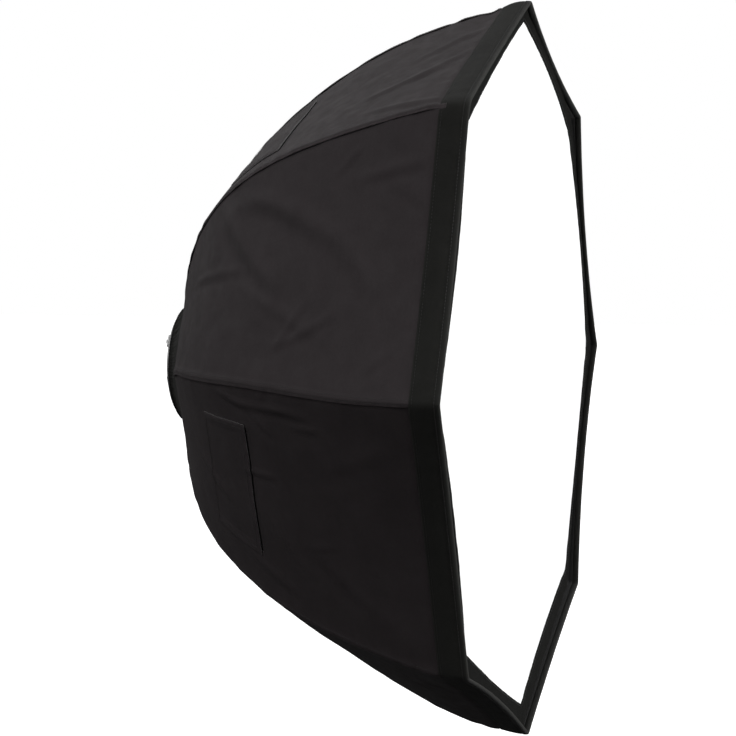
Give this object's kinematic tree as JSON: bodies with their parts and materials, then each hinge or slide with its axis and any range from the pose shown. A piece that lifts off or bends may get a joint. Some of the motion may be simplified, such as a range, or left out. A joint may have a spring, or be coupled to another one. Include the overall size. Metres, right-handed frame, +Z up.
{
  "type": "octagonal studio softbox",
  "caption": "Octagonal fabric light box on bowed rods with a rotating speed ring, recessed front diffuser, inner baffle and sewn access flaps.",
  "frame": {"origin": "on the optical axis, in the rear face of the bayonet insert, where the flash head bears", "axes": "+Z up, +Y back into the flash head, -Y the way the light leaves, +X to the right seen from behind the flash head"},
  "size_m": [0.95, 0.483, 0.95],
  "materials": {
    "shell_fabric": "black coated nylon, fine plain weave, soft matt sheen",
    "lip_fabric": "black woven fabric, duller and darker than the shell",
    "diffuser_fabric": "white translucent nylon, matt",
    "webbing": "black hook-and-loop tape and webbing",
    "rod_steel": "spring steel rod, satin",
    "cast_alloy": "die-cast alloy, fine blasted",
    "screw_steel": "zinc-plated steel",
    "black_plastic": "moulded plastic, fine grain"
  },
  "bodies": {
    "mount": {"bayonet_insert": "cast_alloy"},
    "ring": {"speed_ring": "cast_alloy", "retainer_plate_1": "screw_steel", "retainer_plate_2": "screw_steel", "retainer_plate_3": "screw_steel", "retainer_screw_1": "screw_steel", "retainer_screw_2": "screw_steel", "retainer_screw_3": "screw_steel", "rear_collar": "shell_fabric", "rod_1": "rod_steel", "rod_cap_1": "black_plastic", "shell_gore_1": "shell_fabric", "baffle_strap_1": "webbing", "rod_2": "rod_steel", "rod_cap_2": "black_plastic", "shell_gore_2": "shell_fabric", "baffle_strap_2": "webbing", "rod_3": "rod_steel", "rod_cap_3": "black_plastic", "shell_gore_3": "shell_fabric", "baffle_strap_3": "webbing", "rod_4": "rod_steel", "rod_cap_4": "black_plastic", "shell_gore_4": "shell_fabric", "baffle_strap_4": "webbing", "rod_5": "rod_steel", "rod_cap_5": "black_plastic", "shell_gore_5": "shell_fabric", "baffle_strap_5": "webbing", "rod_6": "rod_steel", "rod_cap_6": "black_plastic", "shell_gore_6": "shell_fabric", "baffle_strap_6": "webbing", "rod_7": "rod_steel", "rod_cap_7": "black_plastic", "shell_gore_7": "shell_fabric", "baffle_strap_7": "webbing", "rod_8": "rod_steel", "rod_cap_8": "black_plastic", "shell_gore_8": "shell_fabric", "baffle_strap_8": "webbing", "front_lip": "lip_fabric", "lip_binding": "lip_fabric", "loop_tape": "webbing", "inner_baffle": "diffuser_fabric"},
    "lock_screw": {"lock_screw": "screw_steel"},
    "lock_knob": {"lock_knob": "black_plastic"},
    "flap_1": {"access_flap_1": "shell_fabric", "flap_tape_1": "webbing"},
    "flap_2": {"access_flap_2": "shell_fabric", "flap_tape_2": "webbing"},
    "flap_3": {"access_flap_3": "shell_fabric", "flap_tape_3": "webbing"},
    "flap_4": {"access_flap_4": "shell_fabric", "flap_tape_4": "webbing"},
    "diffuser": {"front_diffuser": "diffuser_fabric", "diffuser_border": "lip_fabric", "hook_tape": "webbing"}
  },
  "joints": [
    {"name": "ring_rotation", "type": "hinge", "parent": "mount", "child": "ring", "pos_m": [0, 0, 0], "axis": [0, 1, 0], "continuous": true},
    {"name": "lock_screw_travel", "type": "slide", "parent": "ring", "child": "lock_screw", "axis": [0.9239, 0, -0.3827], "range_m": [0, 0.0024]},
    {"name": "knob_turn", "type": "hinge", "parent": "lock_screw", "child": "lock_knob", "pos_m": [0.08315, -0.005, -0.03444], "axis": [0.9239, 0, -0.3827], "range_deg": [0, 1081]},
    {"name": "access_flap_1_hinge", "type": "hinge", "parent": "ring", "child": "flap_1", "pos_m": [0.23761, -0.139, 0.1992], "axis": [-0.3827, 0, 0.9239], "range_deg": [0, 115]},
    {"name": "access_flap_2_hinge", "type": "hinge", "parent": "ring", "child": "flap_2", "pos_m": [0.1992, -0.139, -0.23761], "axis": [0.9239, 0, 0.3827], "range_deg": [0, 115]},
    {"name": "access_flap_3_hinge", "type": "hinge", "parent": "ring", "child": "flap_3", "pos_m": [-0.23761, -0.139, -0.1992], "axis": [0.3827, 0, -0.9239], "range_deg": [0, 115]},
    {"name": "access_flap_4_hinge", "type": "hinge", "parent": "ring", "child": "flap_4", "pos_m": [-0.1992, -0.139, 0.23761], "axis": [-0.9239, 0, -0.3827], "range_deg": [0, 115]},
    {"name": "diffuser_pull_off", "type": "slide", "parent": "ring", "child": "diffuser", "axis": [0, -1, 0], "range_m": [0, 0.12]}
  ],
  "couplings": [
    {"joint": "knob_turn", "follows": "lock_screw_travel", "rad_per_m": 7854}
  ]
}
